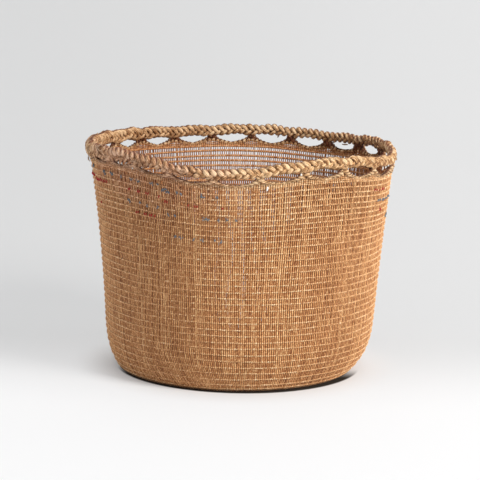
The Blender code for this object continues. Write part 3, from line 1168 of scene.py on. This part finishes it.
@dataclass
class RimBraid(Work):
    """The three-strand braid that crowns the posts."""

    seed: int = 31
    periods: int = 47
    cuts: int = 20
    sides: int = 20
    rise: float = 0.0030
    steepness: float = 0.18
    sag: float = 0.0003
    swing: float = 0.0022
    half_width: float = 0.0023
    half_depth: float = 0.00245
    lobe_push: float = 0.0002
    lobe_lift: float = 0.0003
    lobe_swell: float = 0.06
    over_swell: float = 0.17
    upper_swell: float = 0.10
    upper_tone: float = 0.12
    pit_crown: float = -0.20
    edge_crown: float = 1.7
    wanders: tuple[Values, ...] = ((0.0005, 7, 1), (0.0004, 13, 2))
    tone: Values = (0.55, 0.13)
    girth_at: Values = (-180, -140, -80, -45, -15, 8, 22, 45, 90, 180)
    girth: Values = (1.00, 1.08, 1.20, 1.10, 0.98, 0.93, 0.94, 0.90, 0.94, 1.00)
    tone_at: Values = (-180, -140, -60, -20, 8, 30, 60, 120, 155, 180)
    tone_shift: Values = (0.22, -0.08, 0.0, -0.06, 0.16, 0.0, -0.22, -0.16, 0.18, 0.22)
    sink_at: Values = (-180, -150, -120, -90, -65, -52, -38, -28, 180)
    sink: Values = (0.0, 0.0022, 0.0024, 0.0014, 0.0026, 0.0030, 0.0010, 0.0, 0.0)

    def build(self) -> None:
        """Makes the three strands."""
        self.take(Strands(self.sides, self.cuts, self.periods))
        for number in range(3):
            strand = self.strands.lay(f"braid_strand_{number + 1}", self.course(number))
            weld_ends(strand)
            self.finishes.dress(strand, Slot.BRAID, "rim_braid")
        self.strands.done()

    def course(self, number: int) -> Course:
        """Course of one strand: it swings from edge to edge and passes over and under the others.

        Args:
            number: number of the strand.

        Returns:
            The course.
        """
        form, rng, places = self.form, self.rng, self.places
        turn = tau * (places + number / 3)
        even = form.post_angle(0) + tau * places / self.periods
        around = np.degrees(np.mod(even + pi, tau) - pi)
        girth = np.interp(around, self.girth_at, self.girth)
        over = np.sin(2 * turn)
        half_turns = np.floor(2 * (places + number / 3)).astype(int) % (2 * self.periods)
        push, lift, swell = rng.normal(0, 1, (3, 2 * self.periods))[:, half_turns] * np.sin(turn) ** 2
        tone = np.clip(rng.normal(*self.tone, 2 * self.periods), 0.1, 0.95)[half_turns]
        wander = sum(ripple(even, shift * number, size, rate) for size, rate, shift in self.wanders)
        scallop = form.braid_scallop * (1 - np.cos(form.bundles * (even - form.post_angle(0)))) / 2
        radius = form.rim_radius + girth * (self.swing * over + self.lobe_push * push)
        swing = self.rise * (np.cos(turn) + self.steepness * np.cos(3 * turn))
        swing += self.sag * np.cos(2 * turn) + self.lobe_lift * lift
        sink = np.interp(around, self.sink_at, self.sink)
        height = form.rim_height + girth * swing + scallop + wander - sink
        swollen = self.lobe_swell * swell + self.over_swell * over + self.upper_swell * np.cos(turn)
        plump = girth * (1 + swollen)
        shift = np.interp(around, self.tone_at, self.tone_shift)
        # Crown is low where the strands cross, for painted shade in the braid's pits, and the flank setting
        # paints shade on their sides
        return Course(
            line=form.line(form.place, even, radius, height), number=number,
            half_width=self.half_width * plump, half_depth=self.half_depth * plump,
            tone=np.clip(tone + shift + self.upper_tone * np.cos(turn), 0.0, 1.0),
            crown=np.clip(self.pit_crown + self.edge_crown * np.abs(np.cos(turn)), 0.0, 1.0),
            flank_shade=0.9, ridge=0.06,
        )


# Base


@dataclass
class WovenBase(Work):
    """The flat woven bottom: stems that fork on their way out, and close rings of twining."""

    seed: int = 43
    middle_height: float = 0.00175
    edge_radius: float = 0.1146
    overlap: float = 0.0018
    zones: tuple[Values, ...] = (
        (0.0770, 0.1095, 416), (0.0400, 0.0770, 208), (0.0210, 0.0400, 104), (0.0100, 0.0210, 52),
        (0.0040, 0.0100, 24),
    )
    curl: Values = (0.0004, 160.0)
    row_pitch: float = 0.0036
    stem_half_width: float = 0.00062
    stem_half_depth: float = 0.00048
    stem_tone: Values = (0.45, 0.16)
    ring_swing: float = 0.00045
    ring_rise: float = 0.00098
    ring_half_width: float = 0.00062
    ring_half_depth: float = 0.00052
    ring_tone: Values = (0.5, 0.15)

    def build(self) -> None:
        """Makes the spokes, and the rings of twining as an outer and an inner piece."""
        spokes = join([self.spokes(*zone) for zone in self.zones], "base_spokes")
        edit(bpy.ops.mesh.normals_make_consistent, spokes, inside=False)
        self.finishes.dress(spokes, Slot.BASE, "base")
        for name, zones in (("outer", self.zones[:1]), ("inner", self.zones[1:])):
            self.rng = np.random.default_rng(self.seed + len(zones))
            rings = [ring for zone in zones for ring in self.rings(*zone)]
            self.finishes.dress(join(rings, f"base_twining_{name}"), Slot.BASE, "base")

    def spokes(self, inner: float, outer: float, count: int) -> Piece:
        """Makes the stems of one zone of the base.

        Args:
            inner: inner radius of the zone.
            outer: outer radius of the zone.
            count: number of its stems.

        Returns:
            The stems as one piece.
        """
        form, rng = self.form, self.rng
        strands = Strands(5, 5, copies=count, capped=True)
        start = inner - self.overlap
        end = self.edge_radius if outer == self.zones[0][1] else outer + self.overlap
        reach = start + strands.z * (end - start)
        curl = ripple(reach, rng.uniform(0, tau, count)[strands.copy], *self.curl)
        even = form.stem_at(strands.copy * form.stems / count)
        even = even + (strands.x * self.stem_half_width + curl) / np.maximum(reach, 0.004)
        points = form.place(even, reach, self.middle_height + strands.y * self.stem_half_depth)
        fibre = np.stack([strands.x + strands.copy * GRAIN_SHIFT, strands.y, reach * 1000], axis=-1)
        tone = np.clip(rng.normal(*self.stem_tone, count), 0, 1)[strands.copy]
        spokes = strands.shaped("spokes", points, fibre, tone, np.full(len(tone), 0.8))
        strands.done()
        return spokes

    def rings(self, inner: float, outer: float, stems: int) -> list[Piece]:
        """Makes the rings of twining of one zone.

        Args:
            inner: inner radius of the zone.
            outer: outer radius of the zone.
            stems: number of its stems.

        Returns:
            The strands, not yet joined.
        """
        form = self.form
        count = stems // 2 if stems > 400 else stems
        strands = Strands(4, 6, repeats=count // 2)
        stem = 2 * strands.places
        nearest = np.round(stem).astype(int) % count
        rows = max(1, round((outer - inner) / self.row_pitch))
        rings = []
        for row in range(rows):
            radius = inner + (row + 0.5) * (outer - inner) / rows
            for number in range(2):
                turn = pi * (stem + number)
                reach = radius + self.ring_swing * np.sin(turn)
                height = self.middle_height + self.ring_rise * np.cos(turn)
                centre = form.place(form.stem_at(stem * form.stems / count), reach, height)
                # Crown is low where the two strands cross, where the finish paints shade
                course = Course(
                    line=(centre, np.array([0.0, 0.0, 1.0])), number=number + row,
                    half_width=self.ring_half_width, half_depth=self.ring_half_depth,
                    tone=np.clip(self.rng.normal(*self.ring_tone, count), 0, 1)[nearest],
                    crown=0.5 + 0.5 * np.abs(np.cos(turn)),
                )
                rings.append(strands.lay(f"ring {row} {number}", course))
                weld_ends(rings[-1])
        strands.done()
        return rings


# Wool


@dataclass(frozen=True)
class Wool:
    """One colour of wool: its stitches' length, slant, thickness and scatter, and where they are.

    The slant is in radians. Each run is a row, counted from the lowest as 0, and the stems that are
    stitched near it.
    """

    name: str
    slot: Slot
    length: float
    slant: float
    half_width: float
    scatter: float
    runs: tuple[tuple[float, tuple[int, ...]], ...]
    bits: int = 1
    bleached: bool = False


RED = Wool("red_wool", Slot.RED_WOOL, 0.0030, 0.5, 0.00062, 0.0002, runs=(
    (30.9, (-20, -18, -16, -14, -12)),
    (30.4, (-9, -7, -5, -3, -1, 1, 3, 5)),
    (30.1, (23, 24, 29, 30, 34, 35, 41)),
    (29.4, (44, 45, 55, 58, 59, 70)),
    (26.4, (-5, 27, 28, 32, 33, 35, 36, 38)),
    (31.1, (145, 147, 150, 153, 155)),
    (27.0, (153, 154)),
))
BLUE = Wool("blue_wool", Slot.BLUE_WOOL, 0.0020, 0.8, 0.00052, 0.0008, bits=3, runs=(
    (32.5, (-13, -11)),
    (32.0, (3, 4, 10, 11, 18, 25, 29, 30, 37, 38, 41)),
    (31.4, (43, 44, 45, 46, 50, 52, 61, 62, 68)),
    (28.1, (22, 23, 30, 34, 40)),
    (27.2, (45, 48, 62, 63, 64, 69, 72, 76)),
    (23.2, (48, 51, 57, 61, 67, 70)),
    (28.9, (150, 152, 155, 157, 160, 163, 166, 168)),
    (25.1, (165, 167)),
))
WHITE = Wool("pale_knots", Slot.BLUE_WOOL, 0.0030, 0.2, 0.00095, 0.0005, bleached=True, runs=(
    (32.9, (88, 88)),
    (34.8, (102,)),
    (35.0, (150, 153, 156)),
    (34.6, (18, 20, 23)),
    (34.2, (25, 27, 31)),
))


@dataclass
class Needlework(Work):
    """Remains of the wool that was worked over the twining near the rim."""

    seed: int = 53
    out: float = 0.0014
    arch: float = 0.0006
    half_depth: float = 0.00060
    slant_range: Values = (0.4, 1.3)
    length_range: Values = (0.75, 1.2)
    end_thickness: float = 0.35
    wools: tuple[Wool, ...] = (RED, BLUE, WHITE)

    def build(self) -> None:
        """Makes the stitches of each colour as one piece."""
        self.take(Strands(7, 8, capped=True))
        for wool in self.wools:
            self.rng = np.random.default_rng(self.seed)
            stitches = [self.strands.lay("stitch", self.course(wool, *at)) for at in self.stitches(wool)]
            self.finishes.dress(join(stitches, wool.name), wool.slot, bleached=wool.bleached)
        self.strands.done()

    def stitches(self, wool: Wool) -> list[tuple[float, int]]:
        """Finds the stitches of one colour.

        Args:
            wool: the colour.

        Returns:
            Height and stem of every stitch.
        """
        form = self.form
        places = []
        for row, stems in wool.runs:
            level = float(np.interp(row, range(form.rows), form.row_heights()))
            level += max(0.0, row - form.rows + 1) * form.close_row_step
            places += [(level, stem) for stem in stems for _ in range(wool.bits)]
        return places

    def course(self, wool: Wool, level: float, stem: int) -> Course:
        """Course of one stitch.

        Args:
            wool: its colour.
            level: height of its middle.
            stem: number of the stem that it lies over.

        Returns:
            The course.
        """
        form, rng, places = self.form, self.rng, self.places
        lean = wool.slant * rng.uniform(*self.slant_range) * (1 if wool.bits == 1 else rng.choice((-1, 1)))
        along = (places - 0.5) * (wool.length * rng.uniform(*self.length_range))
        sideways = along * sin(lean) + rng.normal(0, wool.scatter)
        height = level + along * cos(lean) + rng.normal(0, wool.scatter)
        even = form.stem_at(stem) + sideways / form.rim_wall_radius
        size = self.end_thickness + (1 - self.end_thickness) * np.sin(pi * places) ** 0.6
        return Course(
            line=form.line(form.on_wall, even, self.out + self.arch * np.sin(pi * places), height),
            half_width=wool.half_width * size, half_depth=self.half_depth * size,
            tone=rng.random(), number=stem,
        )


# Loose fibres


@dataclass
class LooseFibres(Work):
    """Frayed ends and repairs that lie over the braid and the border, mostly on the left."""

    seed: int = 67
    left_count: int = 45
    other_count: int = 45
    left_at: Values = (-62, 20)
    left_lengths: Values = (0.006, 0.014)
    other_lengths: Values = (0.003, 0.008)
    left_rises: Values = (-0.0125, 0.0030)
    other_rises: Values = (-0.0060, 0.0030)
    half_widths: Values = (0.00045, 0.00100)
    lean: float = 0.6
    bow: float = 0.0008
    curl: float = 0.0004
    braid_reach: float = 0.0051
    braid_rise: float = 0.0062
    border_reach: float = 0.0034
    border_fall: float = 0.010
    loft: float = 0.0007
    tone: Values = (0.65, 0.3)

    def build(self) -> None:
        """Makes the fibres as one piece."""
        self.take(Strands(5, 10, capped=True))
        sides = [True] * self.left_count + [False] * self.other_count
        fibres = join([self.strands.lay("fibre", self.course(left)) for left in sides], "loose_fibres")
        self.finishes.dress(fibres, Slot.BRAID, "rim_braid")
        self.strands.done()

    def course(self, left: bool) -> Course:
        """Course of one fibre.

        Args:
            left: whether it belongs to the frayed left.

        Returns:
            The course.
        """
        form, rng, places = self.form, self.rng, self.places
        angle = radians(rng.normal(*self.left_at)) if left else rng.uniform(-pi, pi)
        length = rng.uniform(*(self.left_lengths if left else self.other_lengths))
        lean = rng.normal(0.0, self.lean)
        along = (places - 0.5) * length
        bend = ripple(places, 0.0, rng.normal(0, self.bow), pi)
        bend += ripple(places, 0.0, rng.normal(0, self.curl), tau)
        rise = rng.uniform(*(self.left_rises if left else self.other_rises))
        over = rise + along * sin(lean) + bend
        even = angle + along * cos(lean) / form.rim_radius
        bulge = self.braid_reach * np.sqrt(np.clip(1 - (over / self.braid_rise) ** 2, 0.0, 1.0))
        below = self.border_reach * np.clip(-over / self.border_fall, 0.0, 1.0)
        reach = form.rim_radius + np.maximum(bulge, below) + rng.uniform(0, self.loft)
        width = rng.uniform(*self.half_widths) * (0.5 + 0.5 * np.sin(pi * places) ** 0.5)
        return Course(
            line=form.line(form.place, even, reach, form.rim_height + over),
            half_width=width, half_depth=0.8 * width,
            tone=np.clip(rng.normal(*self.tone), 0.0, 1.0), number=rng.uniform(0, 9), crown=1.0,
        )


# Studio


@dataclass
class Studio:
    """The pale floor and backdrop, the soft lamps and the camera.

    The camera's pitch is in degrees and its roll in radians, and base_pixel is where it sees the origin.
    """

    base_pixel: tuple[float, float] = (239.9, 362.9)
    picture: float = 480.0
    pixels_per_unit: float = 2000.0
    distance: float = 2.0
    pitch: float = 10.21
    roll: float = 0.0193
    sweep_height: float = 4.0
    sweep_bend: float = 0.55
    lamp_aim: Colour = (0.0, 0.0, 0.11)

    def build(self) -> None:
        """Makes the stage, the lamps, the world and the camera."""
        self.stage()
        self.lamp("key_softbox", (1.59, -1.27, 1.45), 0.8, 60.0, (1.0, 0.985, 0.96))
        self.lamp("left_fill", (-1.7, -1.5, 1.0), 1.4, 10.0, (0.96, 0.98, 1.0))
        self.lamp("top_softbox", (0.1, 0.1, 2.2), 1.2, 5.0, (1.0, 1.0, 1.0))
        self.world()
        self.camera()
        bpy.context.scene.view_settings.view_transform = "Standard"

    def stage(self) -> None:
        """A floor that sweeps up into a backdrop behind the basket."""
        pick()
        bpy.ops.mesh.primitive_plane_add(size=1.0, location=(0.0, -1.8, 0.0))
        bpy.context.view_layer.objects.active.scale = (9.0, 5.2, 1.0)
        sweep = named("studio_sweep")
        back = max(vertex.co.y for vertex in sweep.data.vertices) - 0.001
        select_edges(sweep, lambda low, high: min(low.y, high.y) > back)
        rise = {"value": (0.0, 0.0, self.sweep_height)}
        edit(bpy.ops.mesh.extrude_region_move, TRANSFORM_OT_translate=rise)
        select_edges(sweep, lambda low, high: min(low.y, high.y) > back and high.z + low.z < 0.001)
        edit(bpy.ops.mesh.bevel, offset=self.sweep_bend, segments=24, profile=0.5, affect="EDGES")
        bpy.ops.object.shade_smooth()
        sweep.data.materials.append(self.paper())

    def paper(self) -> Material:
        """Matt pale paper, brighter towards the front and the right.

        The camera sees it with a faint painted glow of its own and paler shadows, with a painted contact
        shadow, a dark ring on the paper under the basket's front, and looks through its rear side. The glow
        lights nothing.

        Returns:
            The material.
        """
        coat = Coat("pale_backdrop_paper")
        place = coat.add("TexCoord").outputs["Object"]
        x, y, _ = coat.add("SeparateXYZ", {0: place}).outputs
        reach = coat.add("VectorMath", {0: place}, operation="LENGTH").outputs["Value"]
        seen = coat.add("LightPath").outputs["Is Camera Ray"]
        # Near the basket the glow gives way to brighter lit paper, so the real shadow there stays dark
        near = coat.ramp(reach, 0.168, 0.112)
        # Painted contact shadow: a dark ring on the paper just outside the basket's front foot
        under = coat.times(coat.ramp(reach, 0.1224, 0.1194), coat.ramp(y, -0.015, -0.055))
        # Painted light for the camera: a glow that is brighter towards the right and the front
        glow = coat.mixed(coat.ramp(x, -0.30, 0.30), (0.452, 0.455, 0.458), (0.492, 0.494, 0.498))
        glow = coat.mixed(coat.ramp(y, 0.90, 0.30), glow, (0.032, 0.032, 0.032), "ADD")
        glow = coat.mixed(coat.ramp(y, 0.13, -0.19), glow, (0.70, 0.70, 0.705))
        glow = coat.mixed(near, glow, (0.13, 0.13, 0.13))
        glow = coat.mixed(under, glow, (0.0, 0.0, 0.0))
        colour = coat.mixed(near, (0.20, 0.20, 0.20), (0.64, 0.64, 0.64))
        colour = coat.mixed(under, colour, (0.03, 0.025, 0.02))
        coat.fill(coat.shader.inputs, {
            "Base Color": coat.mixed(seen, (0.76, 0.76, 0.76), colour),
            "Roughness": 0.85,
            "Specular IOR Level": 0.1,
            "Emission Color": glow,
            "Emission Strength": seen,
        })
        rear_side = coat.add("NewGeometry").outputs["Backfacing"]
        clear = coat.add("BsdfTransparent").outputs[0]
        sides = {0: coat.times(rear_side, seen), 1: coat.shader.outputs[0], 2: clear}
        both = coat.add("MixShader", sides).outputs[0]
        coat.fill(coat.tree.nodes["Material Output"].inputs, {"Surface": both})
        return coat.material

    def lamp(self, name: str, place: Colour, size: float, power: float, colour: Colour) -> None:
        """One square area lamp that looks at the basket.

        Args:
            name: name of the lamp.
            place: where it stands.
            size: length of its side.
            power: its power in watts.
            colour: its colour.
        """
        light = bpy.data.lights.new(name, "AREA")
        light.shape, light.size, light.energy, light.color = "SQUARE", size, power, colour
        lamp = bpy.data.objects.new(name, light)
        bpy.context.scene.collection.objects.link(lamp)
        lamp.location = place
        aim = Vector(self.lamp_aim) - Vector(place)
        lamp.rotation_euler = aim.to_track_quat("-Z", "Y").to_euler()

    def world(self) -> None:
        """An even pale light from all round."""
        world = bpy.data.worlds.new("studio_air")
        world.use_nodes = True
        back = world.node_tree.nodes["Background"].inputs
        back["Color"].default_value = (0.95, 0.975, 1.0, 1.0)
        back["Strength"].default_value = 0.44
        bpy.context.scene.world = world

    def camera(self) -> None:
        """The camera, level with the photograph's own view."""
        scale = self.distance / self.pixels_per_unit
        aside, down = ((at - self.picture / 2) * scale for at in self.base_pixel)
        lens = bpy.data.cameras.new("photo_camera")
        lens.sensor_width = 36.0
        lens.sensor_fit = "HORIZONTAL"
        lens.lens = 36.0 * self.pixels_per_unit / self.picture
        lens.clip_start = 0.05
        camera = bpy.data.objects.new("photo_camera", lens)
        bpy.context.scene.collection.objects.link(camera)
        pitched = Matrix.Rotation(pi / 2 - radians(self.pitch), 4, "X")
        shifted = Matrix.Translation((-aside, down, self.distance))
        camera.matrix_world = pitched @ shifted @ Matrix.Rotation(self.roll, 4, "Z")
        bpy.context.scene.camera = camera


def main() -> None:
    """Builds the basket and the studio."""
    logging.basicConfig(level=logging.INFO, format="%(name)s: %(message)s")
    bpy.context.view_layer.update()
    form = BasketForm()
    finishes = Finishes()
    finishes.make()
    Studio().build()
    for work in (WovenBase, Wall, Posts, RimBraid, Needlework, LooseFibres):
        work(form, finishes).build()


if __name__ == "__main__":
    main()
